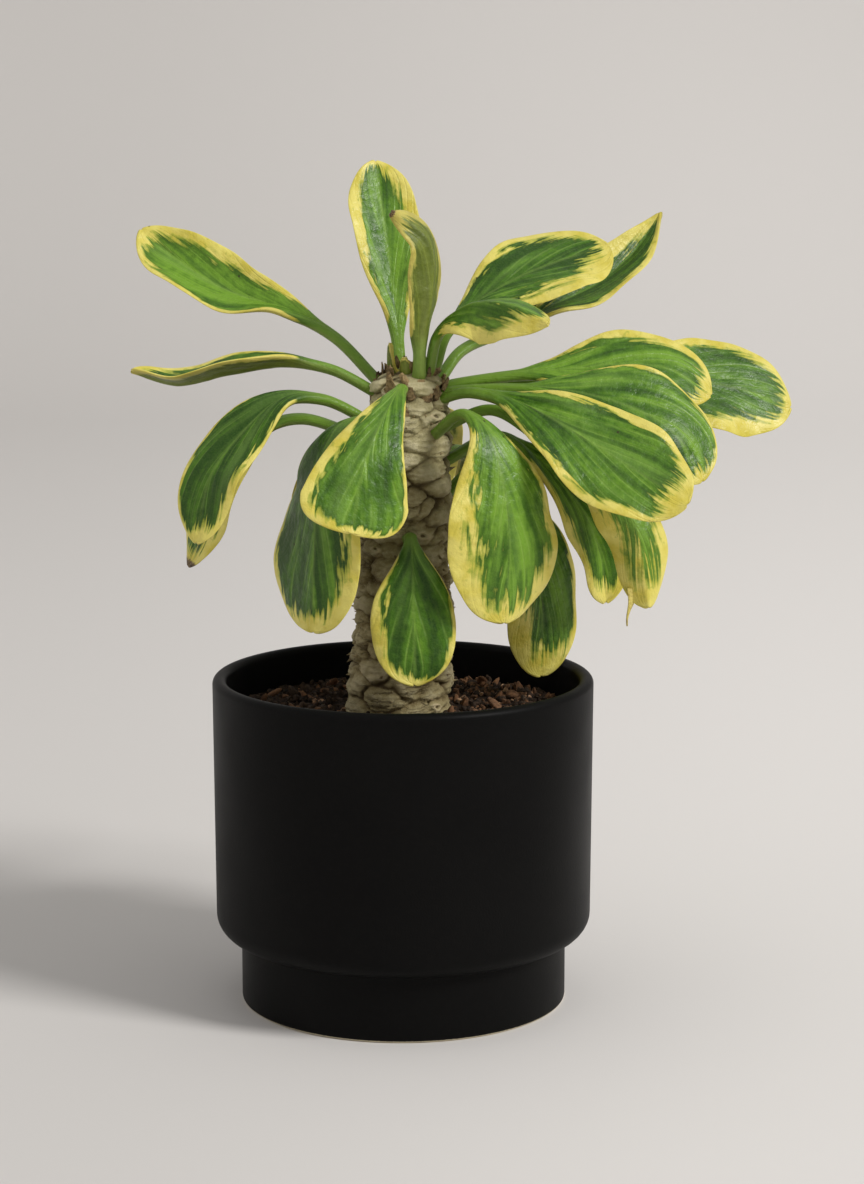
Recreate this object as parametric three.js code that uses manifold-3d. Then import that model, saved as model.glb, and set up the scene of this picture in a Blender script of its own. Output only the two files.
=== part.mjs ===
// Potted euphorbia: a thick-stemmed succulent with variegated leaves in a footed ceramic pot.
// Millimetres, +Z up. The origin is the middle of the pot's underside.
import * as THREE from 'three';
import { LoftGeometry } from 'three/addons/geometries/LoftGeometry.js';
import { mergeVertices } from 'three/addons/utils/BufferGeometryUtils.js';
import Module from 'manifold-3d';

const wasm = await Module();
wasm.setup();

// ---------------------------------------------------------------- driving dimensions

const POT_RADIUS = 75;
const POT_HEIGHT = 130;
const POT_WALL = 5.5;
const POT_FLOOR = 9;
const POT_TAPER = 0.7;
const POT_SIDES = 48;
const FOOT_STEP = 9.8;
const FOOT_HEIGHT = 26.5;
const FOOT_EDGE = 2;
const BODY_CORNER = 9;

const SOIL_BELOW_RIM = 13.5;
const SOIL_CROWN = 1.5;

const TRUNK_RADIUS = 18.6;
const TRUNK_HEIGHT = 135;
const TRUNK_IN_SOIL = 42;
const TRUNK_OFFSET = -1.2;
const TRUNK_LEAN = 4.5;
const CROWN_DOME = 9;
const CROWN_END = 0.96;
const TRUNK_SIDES = 24;
const TUBERCLE_ROWS = 21;
const TUBERCLES_AROUND = 8;
const TUBERCLE_RISE = 1.1;

const BLADE_THICKNESS = 1.3;
const STALK_THICKNESS = 3.2;
const STALK_WIDTH = 3.8;
const LEAF_SCALE = 1;

// Chips of bark lie on the soil along a spiral that opens from the trunk to the pot's wall.
const CHIP_COUNT = 10;
const CHIP_LENGTH = 10;
const CHIP_WIDTH = 5;
const CHIP_HEIGHT = 3;
const CHIP_TURN = 97;
const CHIP_CLEARANCE = 0.6;

const GAP = 0.3;

const SOIL_LEVEL = POT_HEIGHT - SOIL_BELOW_RIM;
const BORE_RADIUS = POT_RADIUS - POT_WALL;

// ---------------------------------------------------------------- materials

function finish(color, roughness, metalness = 0) {
  return new THREE.MeshStandardMaterial({ color, roughness, metalness });
}

const FINISHES = {
  glaze: () => finish(0x1a1919, 0.55),
  soil: () => finish(0x2a1c15, 0.95),
  bark: () => finish(0x6b4632, 0.9),
  stem: () => finish(0x7c7558, 0.85),
  leaf: () => finish(0x5d7d37, 0.4),
  bud: () => finish(0x6f8f3e, 0.5),
};

// ---------------------------------------------------------------- solids

const DEG = Math.PI / 180;

function toSolid(geometry) {
  const faces = new THREE.BufferGeometry();
  faces.setAttribute('position', geometry.attributes.position);
  faces.setIndex(geometry.index);
  const merged = mergeVertices(faces, 1e-4);
  return new wasm.Manifold(new wasm.Mesh({
    numProp: 3,
    vertProperties: new Float32Array(merged.attributes.position.array),
    triVerts: new Uint32Array(merged.index.array),
  }));
}

function toGeometry(solid) {
  const mesh = solid.getMesh();
  const geometry = new THREE.BufferGeometry();
  geometry.setAttribute('position', new THREE.BufferAttribute(mesh.vertProperties, 3));
  geometry.setIndex(new THREE.BufferAttribute(mesh.triVerts, 1));
  geometry.computeVertexNormals();
  return geometry;
}

function part(name, geometry, finishName) {
  const mesh = new THREE.Mesh(geometry, FINISHES[finishName]());
  mesh.name = name;
  return mesh;
}

// A value that runs straight between evenly spaced stops, as t goes from 0 to 1.
function through(stops, t) {
  const place = t * (stops.length - 1);
  const index = Math.min(Math.floor(place), stops.length - 2);
  return THREE.MathUtils.lerp(stops[index], stops[index + 1], place - index);
}

// Points of a round corner, from one angle to another, both in degrees.
function corner(x, y, radius, from, to, steps = 4) {
  const points = [];
  for (let i = 0; i <= steps; i += 1) {
    const angle = (from + (to - from) * i / steps) * DEG;
    points.push(new THREE.Vector2(x + radius * Math.cos(angle), y + radius * Math.sin(angle)));
  }
  return points;
}

function turned(profile) {
  const geometry = new THREE.LatheGeometry(profile, POT_SIDES);
  geometry.rotateX(Math.PI / 2);
  return toGeometry(toSolid(geometry));
}

// ---------------------------------------------------------------- pot and soil

const bodyFoot = POT_RADIUS - POT_TAPER;
const footRadius = bodyFoot - FOOT_STEP;
const footBore = footRadius - POT_WALL;
const ledge = FOOT_HEIGHT + POT_WALL;

function potShape() {
  const lip = POT_WALL / 2;
  return turned([
    new THREE.Vector2(0, 0),
    ...corner(footRadius - FOOT_EDGE, FOOT_EDGE, FOOT_EDGE, -90, 0, 3),
    new THREE.Vector2(footRadius, FOOT_HEIGHT),
    ...corner(bodyFoot - BODY_CORNER, FOOT_HEIGHT + BODY_CORNER, BODY_CORNER, -90, 0, 5),
    ...corner(POT_RADIUS - lip, POT_HEIGHT - lip, lip, 0, 180, 6),
    new THREE.Vector2(BORE_RADIUS, ledge),
    new THREE.Vector2(footBore, ledge),
    new THREE.Vector2(footBore, POT_FLOOR),
    new THREE.Vector2(0, POT_FLOOR),
  ]);
}

// The soil's top is highest at the trunk and falls in two slopes to the wall.
const soilBend = BORE_RADIUS * 0.6;

function soilHeight(radius) {
  const bend = SOIL_LEVEL - SOIL_CROWN / 4;
  const edge = SOIL_LEVEL - SOIL_CROWN;
  if (radius < soilBend) return THREE.MathUtils.lerp(SOIL_LEVEL, bend, radius / soilBend);
  return THREE.MathUtils.lerp(bend, edge, (radius - soilBend) / (BORE_RADIUS - soilBend));
}

function soilShape(trunkCutter) {
  const solid = toSolid(turned([
    new THREE.Vector2(0, POT_FLOOR + GAP),
    new THREE.Vector2(footBore - GAP, POT_FLOOR + GAP),
    new THREE.Vector2(footBore - GAP, ledge + GAP),
    new THREE.Vector2(BORE_RADIUS - GAP, ledge + GAP),
    new THREE.Vector2(BORE_RADIUS - GAP, soilHeight(BORE_RADIUS - GAP)),
    new THREE.Vector2(soilBend, soilHeight(soilBend)),
    new THREE.Vector2(0, soilHeight(0)),
  ]));
  return toGeometry(solid.subtract(trunkCutter));
}

// ---------------------------------------------------------------- trunk

// The trunk's radius, as a share of its radius at the soil, up its height.
const TRUNK_TAPER = [1.03, 0.98, 0.95, 0.92, 0.88, 0.85, 0.82, 0.76, 0.68];

function trunkAxis(height) {
  const rise = THREE.MathUtils.clamp(height / TRUNK_HEIGHT, 0, 1);
  return new THREE.Vector3(TRUNK_LEAN * rise + TRUNK_OFFSET, 0, SOIL_LEVEL + height);
}

function trunkRadius(height) {
  const rise = THREE.MathUtils.clamp(height / TRUNK_HEIGHT, 0, 1);
  const dome = THREE.MathUtils.clamp((height - TRUNK_HEIGHT + CROWN_DOME) / CROWN_DOME, 0, CROWN_END);
  return TRUNK_RADIUS * through(TRUNK_TAPER, rise) * Math.sqrt(1 - dome ** 2);
}

// Low knobs in staggered rows, the stubs of fallen leaves. "grown" widens the whole trunk.
function trunkShape(grown = 0) {
  const sections = [];
  const rings = 2 * TUBERCLE_ROWS;
  const length = TRUNK_HEIGHT + TRUNK_IN_SOIL;
  for (let i = 0; i <= rings; i += 1) {
    const height = -TRUNK_IN_SOIL + length * i / rings;
    const row = Math.floor(i / 2);
    const swell = i % 2 === 1 ? TUBERCLE_RISE : -TUBERCLE_RISE / 2;
    const centre = trunkAxis(height);
    const ring = [];
    for (let j = 0; j < TRUNK_SIDES; j += 1) {
      const angle = j / TRUNK_SIDES * 2 * Math.PI;
      const knob = swell * (1 + Math.cos(TUBERCLES_AROUND * angle + Math.PI * row)) / 2;
      const radius = trunkRadius(height) + knob + grown;
      ring.push(new THREE.Vector3(
        centre.x + radius * Math.cos(angle),
        centre.y + radius * Math.sin(angle),
        centre.z,
      ));
    }
    sections.push(ring);
  }
  for (const ring of [sections[0], sections[rings]]) {
    const down = ring === sections[0];
    for (const point of ring) point.z += down ? -grown : grown;
  }
  return new LoftGeometry(sections, { capStart: true, capEnd: true });
}

// ---------------------------------------------------------------- leaves

// Each leaf grows from the trunk at "below" under its tip, towards "azimuth" in degrees
// round from +X. Its midrib runs through "route", points of [out, up, left] from the trunk's
// face. "width" is the blade's full width, "widest" where it is widest along the leaf,
// "blade" where the stalk opens into the blade, "tip" how blunt the end is (0.5 is round).
// "roll", "fold" and "curl" are degrees at the stalk, the middle and the tip: the turn about
// the midrib, the rise of both halves from it, and how much more each half turns up at its edge.
const LEAVES = {
  leaf_top_back: {
    below: 7, azimuth: 106,
    route: [[8, 22, 0], [18, 45, 0], [30, 68, 0], [39, 84, 0]],
    width: 29, widest: 0.72, blade: 0.22, tip: 0.5,
    roll: [0, -5, 0], fold: [20, 10, 5], curl: [0, 10, 10],
  },
  leaf_top_front: {
    below: 3, azimuth: -70,
    route: [[1, 16, 0], [2, 30, 3], [2, 44, 4], [2, 57, 0], [2, 67, -14]],
    width: 26, widest: 0.6, blade: 0.18, tip: 0.7,
    roll: [0, 40, 35], fold: [20, 15, 15], curl: [0, 10, 0],
  },
  leaf_left_high: {
    below: 7, azimuth: 157,
    route: [[19, 17, 0], [40, 27, 0], [64, 33, 0], [91, 47, 0], [104, 57, 0]],
    width: 26, widest: 0.72, blade: 0.3, tip: 0.5,
    roll: [0, -40, -45], fold: [20, 20, 10], curl: [0, 10, 10],
  },
  leaf_left_arched: {
    below: 10, azimuth: 183,
    route: [[17, 9, 0], [36, 12, 0], [57, 8, 0], [76, 4, 0], [94, 9, 0]],
    width: 26, widest: 0.7, blade: 0.3, tip: 0.6,
    roll: [0, 0, 0], fold: [20, 25, 20], curl: [0, 10, 0],
  },
  leaf_left_droop: {
    below: 22, azimuth: 205,
    route: [[22, 11, 0], [39, 11, 0], [54, 0, 0], [67, -15, 0], [74, -41, 0]],
    width: 26, widest: 0.72, blade: 0.3, tip: 0.5,
    roll: [0, -35, -35], fold: [15, 10, 5], curl: [0, -10, -10],
  },
  leaf_left_behind: {
    below: 30, azimuth: 172,
    route: [[26, 9, 0], [40, 6, 0], [51, -4, 0], [61, -22, 0], [73, -50, 0]],
    width: 28, widest: 0.72, blade: 0.35, tip: 0.55,
    roll: [0, -40, -45], fold: [15, 10, 5], curl: [0, -10, -10],
  },
  leaf_front_left: {
    below: 27, azimuth: 228,
    route: [[12, 8, 0], [25, 5, 0], [34, -9, 0], [38, -40, 0], [39, -70, 0]],
    width: 44, widest: 0.72, blade: 0.2, tip: 0.4,
    roll: [0, -15, -15], fold: [15, -12, -12], curl: [0, -10, 0],
  },
  leaf_front_short: {
    below: 10, azimuth: 253,
    route: [[14, 4, 0], [30, -4, 0], [46, -20, 0], [56, -44, 0]],
    width: 40, widest: 0.78, blade: 0.08, tip: 0.4,
    roll: [0, -20, -30], fold: [15, 0, 0], curl: [0, -10, -10],
  },
  leaf_front_low: {
    below: 65, azimuth: 275,
    route: [[9, 1, 0], [16, -10, 0], [22, -28, 0], [26, -52, 0]],
    width: 34, widest: 0.68, blade: 0.2, tip: 0.5,
    roll: [0, 0, 0], fold: [10, 0, 0], curl: [0, -10, -10],
  },
  leaf_front_right: {
    below: 25, azimuth: -45,
    route: [[14, 9, 0], [25, 4, 0], [34, -11, 0], [39, -39, 0], [37, -69, 0]],
    width: 44, widest: 0.7, blade: 0.22, tip: 0.45,
    roll: [0, 20, 20], fold: [15, 0, 0], curl: [0, -15, -15],
  },
  leaf_right_front: {
    below: 12, azimuth: -24,
    route: [[11, 3, 0], [36, -2, 0], [69, -18, 0], [100, -35, 0]],
    width: 42, widest: 0.72, blade: 0.2, tip: 0.5,
    roll: [10, 45, 50], fold: [15, 5, 0], curl: [0, 0, -10],
  },
  leaf_right_middle: {
    below: 10, azimuth: -10,
    route: [[25, 2, 0], [49, 1, 0], [71, -4, 0], [89, -14, 0], [100, -32, 0]],
    width: 42, widest: 0.72, blade: 0.3, tip: 0.5,
    roll: [10, 45, 45], fold: [15, 5, 0], curl: [0, -5, -10],
  },
  leaf_right_back: {
    below: 8, azimuth: 4,
    route: [[25, 4, 0], [48, 6, 0], [68, 8, 0], [88, 6, 0], [104, -4, 0]],
    width: 36, widest: 0.74, blade: 0.3, tip: 0.5,
    roll: [10, 45, 45], fold: [15, 5, 0], curl: [0, -5, -10],
  },
  leaf_right_far: {
    below: 11, azimuth: 14,
    route: [[26, 4, 0], [50, 5, 0], [84, 5, 0], [124, -2, 0], [143, -9, 0]],
    width: 43, widest: 0.8, blade: 0.45, tip: 0.48,
    roll: [10, 50, 60], fold: [15, 5, 0], curl: [0, 0, -10],
  },
  leaf_back_right: {
    below: 3, azimuth: 28,
    route: [[6, 15, 0], [20, 25, 0], [35, 32, 0], [55, 39, 0], [80, 45, 0]],
    width: 34, widest: 0.7, blade: 0.25, tip: 0.5,
    roll: [0, 35, 30], fold: [15, 5, 0], curl: [0, 0, 0],
  },
  leaf_back_pointed: {
    below: 8, azimuth: 40,
    route: [[12, 12, 0], [36, 19, 0], [60, 27, 0], [84, 35, 0], [104, 46, 0], [121, 63, 0]],
    width: 25, widest: 0.68, blade: 0.35, tip: 0.9,
    roll: [0, 35, 35], fold: [20, 20, 20], curl: [0, 5, 5],
  },
  leaf_flap: {
    below: 2, azimuth: -35,
    route: [[4, 14, 0], [11, 22, 0], [22, 28, 0], [37, 28, 0], [55, 22, 0]],
    width: 30, widest: 0.7, blade: 0.3, tip: 0.7,
    roll: [0, 20, 20], fold: [15, -35, -30], curl: [0, -10, -10],
  },
  leaf_right_hanging: {
    below: 37, azimuth: 10,
    route: [[21, 9, 0], [41, -6, 0], [54, -21, 0], [61, -38, 0], [64, -58, 0]],
    width: 32, widest: 0.7, blade: 0.3, tip: 0.55,
    roll: [0, 60, 70], fold: [15, 20, 15], curl: [0, 10, 10],
  },
  leaf_right_curled: {
    below: 23, azimuth: -12,
    route: [[18, 7, 0], [38, -4, 0], [60, -19, 0], [74, -36, 0], [80, -68, 0]],
    width: 30, widest: 0.75, blade: 0.4, tip: 0.7,
    roll: [0, 50, 60], fold: [15, -35, -40], curl: [0, -20, -30],
  },
  leaf_right_low: {
    below: 51, azimuth: 20,
    route: [[14, 10, 0], [28, -3, 0], [36, -22, 0], [39, -48, 0], [38, -74, 0]],
    width: 34, widest: 0.7, blade: 0.25, tip: 0.55,
    roll: [0, 60, 60], fold: [15, 10, 5], curl: [0, -10, -10],
  },
  leaf_rear_left: {
    below: 37, azimuth: 118,
    route: [[18, 5, 0], [36, 2, 0], [50, -12, 0], [58, -32, 0], [62, -54, 0]],
    width: 34, widest: 0.7, blade: 0.3, tip: 0.5,
    roll: [0, 5, 5], fold: [15, 5, 0], curl: [0, -10, -10],
  },
  leaf_rear: {
    below: 19, azimuth: 88,
    route: [[20, 2, 0], [42, 0, 0], [64, -10, 0], [82, -28, 0], [90, -50, 0]],
    width: 38, widest: 0.7, blade: 0.3, tip: 0.5,
    roll: [0, -5, -5], fold: [15, 5, 0], curl: [0, -10, -10],
  },
  leaf_rear_low: {
    below: 53, azimuth: 98,
    route: [[16, 6, 0], [32, 2, 0], [43, -14, 0], [48, -34, 0], [49, -54, 0]],
    width: 34, widest: 0.68, blade: 0.25, tip: 0.5,
    roll: [0, 5, 5], fold: [15, 0, 0], curl: [0, -10, -10],
  },
  leaf_rear_right: {
    below: 41, azimuth: 60,
    route: [[18, 5, 0], [35, 0, 0], [48, -16, 0], [55, -36, 0], [58, -58, 0]],
    width: 34, widest: 0.7, blade: 0.3, tip: 0.5,
    roll: [0, -5, -5], fold: [15, 5, 0], curl: [0, -10, -10],
  },
};

// Young leaves that stand at the tip of the trunk, given in the same way.
const BUD = {
  below: 1.5, width: 5, widest: 0.5, blade: 0.1, tip: 0.8, roll: [0, 0], fold: [5, 5], curl: [5, 5],
};
const BUDS = {
  crown_bud_1: { ...BUD, azimuth: 200, route: [[1, 5, 0], [1, 11, 0]] },
  crown_bud_2: { ...BUD, azimuth: 65, route: [[1, 4, 0], [0, 9, 0]] },
  crown_bud_3: { ...BUD, azimuth: 255, route: [[1, 3, 0], [2, 6, 0]] },
};

const LEAF_STATIONS = 14;
const BUD_STATIONS = 6;
const TIP_CROWDING = 1.3;
const STALK_SINK = 4;
const TIP_HALF_WIDTH = 0.5;
const OPENING_SLOWNESS = 1.4;
const BLADE_KNEE = 0.55;

// Half of the leaf's width at t, from 0 at the trunk to 1 at the tip.
function halfWidth(leaf, t) {
  const stalk = STALK_WIDTH / 2;
  const full = leaf.width * LEAF_SCALE / 2;
  if (t < leaf.blade) return stalk;
  if (t < leaf.widest) {
    const opening = Math.sin(Math.PI / 2 * (t - leaf.blade) / (leaf.widest - leaf.blade));
    return stalk + (full - stalk) * opening ** OPENING_SLOWNESS;
  }
  const closing = (t - leaf.widest) / (1 - leaf.widest);
  return Math.max(TIP_HALF_WIDTH, full * (1 - closing ** 2) ** leaf.tip);
}

// The midrib, from a little way inside the trunk to the tip.
function midrib(leaf) {
  const out = new THREE.Vector3(Math.cos(leaf.azimuth * DEG), Math.sin(leaf.azimuth * DEG), 0);
  const left = new THREE.Vector3(-out.y, out.x, 0);
  const height = TRUNK_HEIGHT - leaf.below;
  const root = trunkAxis(height).addScaledVector(out, trunkRadius(height));
  const points = [[-STALK_SINK, -STALK_SINK / 2, 0], [0, 0, 0], ...leaf.route].map(([a, b, c]) => (
    root.clone().addScaledVector(out, a * LEAF_SCALE).addScaledVector(left, c * LEAF_SCALE)
      .add(new THREE.Vector3(0, 0, b * LEAF_SCALE))));
  return { curve: new THREE.CatmullRomCurve3(points, false, 'centripetal'), left };
}

// One closed ring round the leaf at t: its upper face from left to right, then its lower face.
function leafSection(leaf, rib, t) {
  const centre = rib.curve.getPointAt(t);
  const along = rib.curve.getTangentAt(t);
  const side = rib.left.clone().addScaledVector(along, -rib.left.dot(along)).normalize();
  const up = new THREE.Vector3().crossVectors(along, side);
  const roll = through(leaf.roll, t) * DEG;
  const across = side.clone().multiplyScalar(Math.cos(roll)).addScaledVector(up, Math.sin(roll));
  const over = new THREE.Vector3().crossVectors(along, across);
  const half = halfWidth(leaf, t);
  const opened = THREE.MathUtils.smoothstep(t, leaf.blade * 0.6, leaf.widest);
  const thick = Math.min(THREE.MathUtils.lerp(STALK_THICKNESS, BLADE_THICKNESS, opened) / 2, half);
  const fold = through(leaf.fold, t) * DEG;
  const curl = through(leaf.curl, t) * DEG;

  // A point of one half of the blade: "reach" from 0 at the midrib to 1 at the edge.
  function blade(handed, reach, lift) {
    const turn = fold + curl * reach / 2;
    const edge = fold + curl * reach;
    const flat = half * reach * Math.cos(turn) - lift * Math.sin(edge) * Math.sign(reach);
    const rise = half * reach * Math.sin(turn) + lift * Math.cos(edge);
    return centre.clone().addScaledVector(across, handed * flat).addScaledVector(over, rise);
  }

  return [
    blade(1, 1, 0),
    blade(1, BLADE_KNEE, thick),
    blade(1, 0, thick),
    blade(-1, BLADE_KNEE, thick),
    blade(-1, 1, 0),
    blade(-1, BLADE_KNEE, -thick),
    blade(-1, 0, -thick),
    blade(1, BLADE_KNEE, -thick),
  ];
}

function leafShape(leaf, trunkCutter, stations = LEAF_STATIONS) {
  const rib = midrib(leaf);
  const sections = [];
  for (let i = 0; i <= stations; i += 1) {
    const t = 1 - (1 - i / stations) ** TIP_CROWDING;
    sections.push(leafSection(leaf, rib, t));
  }
  const solid = toSolid(new LoftGeometry(sections, { capStart: true, capEnd: true }));
  return toGeometry(solid.subtract(trunkCutter));
}

// ---------------------------------------------------------------- bark chips

function chipShape(index) {
  const spread = (index + 0.5) / CHIP_COUNT;
  const near = trunkRadius(0) + CHIP_LENGTH;
  const far = BORE_RADIUS - CHIP_LENGTH;
  const radius = THREE.MathUtils.lerp(near, far, Math.sqrt(spread));
  const angle = index * CHIP_TURN * DEG;
  const size = 0.75 + 0.25 * Math.cos(index * 2.3);
  const geometry = new THREE.DodecahedronGeometry(0.5);
  geometry.scale(CHIP_LENGTH * size, CHIP_WIDTH * size, CHIP_HEIGHT * size);
  geometry.rotateZ(index * 1.9);
  geometry.computeBoundingBox();
  const rest = soilHeight(radius) + CHIP_CLEARANCE - geometry.boundingBox.min.z;
  geometry.translate(radius * Math.cos(angle), radius * Math.sin(angle), rest);
  return toGeometry(toSolid(geometry));
}

// ---------------------------------------------------------------- the plant in its pot

const plant = new THREE.Group();
const trunkCutter = toSolid(trunkShape(GAP));

plant.add(part('pot', potShape(), 'glaze'));
plant.add(part('soil', soilShape(trunkCutter), 'soil'));
plant.add(part('trunk', trunkShape(), 'stem'));
for (const [name, leaf] of Object.entries(LEAVES)) {
  plant.add(part(name, leafShape(leaf, trunkCutter), 'leaf'));
}
for (const [name, bud] of Object.entries(BUDS)) {
  plant.add(part(name, leafShape(bud, trunkCutter, BUD_STATIONS), 'bud'));
}
for (let i = 0; i < CHIP_COUNT; i += 1) {
  plant.add(part(`bark_chip_${String(i + 1).padStart(2, '0')}`, chipShape(i), 'bark'));
}

export default plant;
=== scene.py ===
# %% [markdown]
# # A potted euphorbia with variegated leaves
#
# The plant is one thick, knobbly trunk with a head of fleshy leaves, green in the middle and
# yellow along their edges. It stands in dark potting mix in a black ceramic pot with a foot.
# The frame holds the true sizes and places of all the parts, and the pieces made here stand for
# them one by one. The script works from the ground up: pot, soil, trunk, leaves, crown, light.

# %% the frame and the sizes taken from it
import math

import bmesh
import bpy
import numpy as np
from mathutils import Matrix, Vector, noise


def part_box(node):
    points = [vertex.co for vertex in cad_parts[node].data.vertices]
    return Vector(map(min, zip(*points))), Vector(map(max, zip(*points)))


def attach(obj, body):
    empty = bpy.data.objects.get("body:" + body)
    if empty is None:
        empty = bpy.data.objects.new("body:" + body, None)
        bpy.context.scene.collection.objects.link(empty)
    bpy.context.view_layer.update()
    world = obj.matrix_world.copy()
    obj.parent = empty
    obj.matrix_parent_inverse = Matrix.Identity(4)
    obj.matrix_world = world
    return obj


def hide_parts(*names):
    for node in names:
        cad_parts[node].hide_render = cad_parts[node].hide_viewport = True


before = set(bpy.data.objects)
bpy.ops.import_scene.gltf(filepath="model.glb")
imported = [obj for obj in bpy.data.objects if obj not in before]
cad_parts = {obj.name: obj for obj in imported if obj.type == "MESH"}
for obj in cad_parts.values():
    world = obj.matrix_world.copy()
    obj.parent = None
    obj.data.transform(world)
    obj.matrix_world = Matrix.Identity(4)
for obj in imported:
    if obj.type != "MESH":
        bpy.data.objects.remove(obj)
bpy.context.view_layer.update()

MM = 0.001
pot_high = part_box("pot")[1]
trunk_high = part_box("trunk")[1]

SOIL_DOWN = 13.5 * MM
POT_RADIUS = pot_high.x
POT_HEIGHT = pot_high.z
SOIL_LEVEL = POT_HEIGHT - SOIL_DOWN
TRUNK_HEIGHT = trunk_high.z - SOIL_LEVEL
print("pot", round(POT_HEIGHT, 4), "m tall; trunk", round(TRUNK_HEIGHT, 4), "m above the soil")

# %% [markdown]
# ## Small helpers
#
# Every new piece goes through the same last steps: modifiers are applied, the piece rides on the
# plant's one body and stands for its frame parts.
# An operator works on all that is selected, so a helper first makes one piece the only one.

# %% helpers for pieces
def only(piece):
    """Makes one piece the selected and active one."""
    bpy.ops.object.select_all(action="DESELECT")
    piece.select_set(True)
    bpy.context.view_layer.objects.active = piece


def new_grid(name, rows, columns):
    """A flat grid from -1 to 1, with its vertices' own x and y to shape it by."""
    bpy.ops.object.select_all(action="DESELECT")
    bpy.ops.mesh.primitive_grid_add(x_subdivisions=rows, y_subdivisions=columns, size=2)
    piece = bpy.context.object
    piece.name = name
    places = points_of(piece)
    return piece, places[:, 0], places[:, 1]


def points_of(piece):
    places = np.zeros(len(piece.data.vertices) * 3)
    piece.data.vertices.foreach_get("co", places)
    return places.reshape(-1, 3)


def move_points(piece, places):
    piece.data.vertices.foreach_set("co", places.astype(np.float32).ravel())
    piece.data.update()


def modify(piece, kind, **settings):
    """Adds a modifier, sets it and applies it."""
    modifier = piece.modifiers.new(kind.title(), kind)
    for setting, value in settings.items():
        setattr(modifier, setting, value)
    only(piece)
    bpy.ops.object.modifier_apply(modifier=modifier.name)


def write_map(piece, name, across, along):
    """A UV map whose two numbers come from each vertex."""
    layer = piece.data.uv_layers.new(name=name)
    corner = np.zeros(len(piece.data.loops), int)
    piece.data.loops.foreach_get("vertex_index", corner)
    pairs = np.stack([across[corner], along[corner]], 1)
    layer.uv.foreach_set("vector", pairs.astype(np.float32).ravel())


def smooth(piece, degrees=180):
    only(piece)
    bpy.ops.object.shade_smooth_by_angle(angle=math.radians(degrees))


def close_seams(piece, distance):
    """Merges the vertices that lie together and turns every face outwards."""
    only(piece)
    bpy.ops.object.mode_set(mode="EDIT")
    bpy.ops.mesh.select_all(action="SELECT")
    bpy.ops.mesh.remove_doubles(threshold=distance)
    bpy.ops.mesh.normals_make_consistent(inside=False)
    bpy.ops.object.mode_set(mode="OBJECT")


def join_as(name, parts):
    """Joins many small parts as one piece, with its place in its mesh."""
    bpy.ops.object.select_all(action="DESELECT")
    for part in parts:
        part.select_set(True)
    bpy.context.view_layer.objects.active = parts[0]
    bpy.ops.object.join()
    piece = bpy.context.object
    piece.name = name
    bpy.ops.object.transform_apply(location=True, rotation=True, scale=True)
    return piece


def settle(piece, slot, *nodes):
    """The last step of every piece: it rides on the plant, and stands for its frame parts."""
    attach(piece, "root")
    if nodes:
        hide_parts(*nodes)
    print(piece.name, len(piece.data.polygons), "faces")


def lumpy(places, size, seed=0.0):
    """Smooth noise from -1 to 1 at each place, with lumps of about the size given."""
    shift = Vector((seed * 3.1, seed * 1.7, seed * 2.3))
    return np.array([noise.noise(Vector(place) / size + shift) for place in places])


def ease(low, high, value):
    """A smooth step from 0 to 1 between two values."""
    share = np.clip((value - low) / (high - low), 0, 1)
    return share * share * (3 - 2 * share)


# %% [markdown]
# ## A maker's box of shader nodes
#
# A finish here is one shader with its colours, roughness and bump worked out by nodes. The small
# class below adds and joins nodes in one call each, so that each finish further on reads as a
# recipe. Colours are given as the eye reads them, from 0 to 255, and turned to linear light.

# %% finishes
def colour(red, green, blue):
    linear = []
    for value in (red, green, blue):
        share = value / 255
        linear.append(share / 12.92 if share <= 0.04045 else ((share + 0.055) / 1.055) ** 2.4)
    return (*linear, 1.0)


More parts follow.
